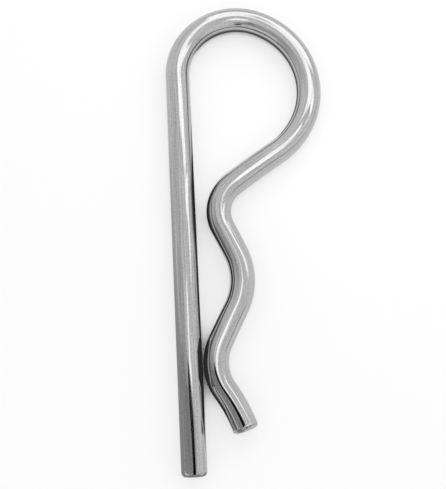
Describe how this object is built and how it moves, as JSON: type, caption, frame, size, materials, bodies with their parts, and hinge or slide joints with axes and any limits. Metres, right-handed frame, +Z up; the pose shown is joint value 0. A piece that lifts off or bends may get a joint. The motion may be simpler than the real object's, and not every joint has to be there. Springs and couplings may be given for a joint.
{
  "type": "hitch r clip pin",
  "caption": "Spring-wire R clip: a straight leg goes through a cross-drilled pin and a waved leg snaps around it, with an open loop to pull it by.",
  "frame": {"origin": "middle of the clip's bounding box, on the surface that the clip lies on", "axes": "+Y along the straight leg towards the loop, +X from the straight leg towards the spring leg, +Z up out of the plane of the bends"},
  "size_m": [0.0258, 0.0762, 0.004],
  "materials": {
    "spring_steel": "bright drawn spring steel wire with fine lines along the wire"
  },
  "bodies": {
    "root": {"clip_wire": "spring_steel"}
  },
  "joints": []
}
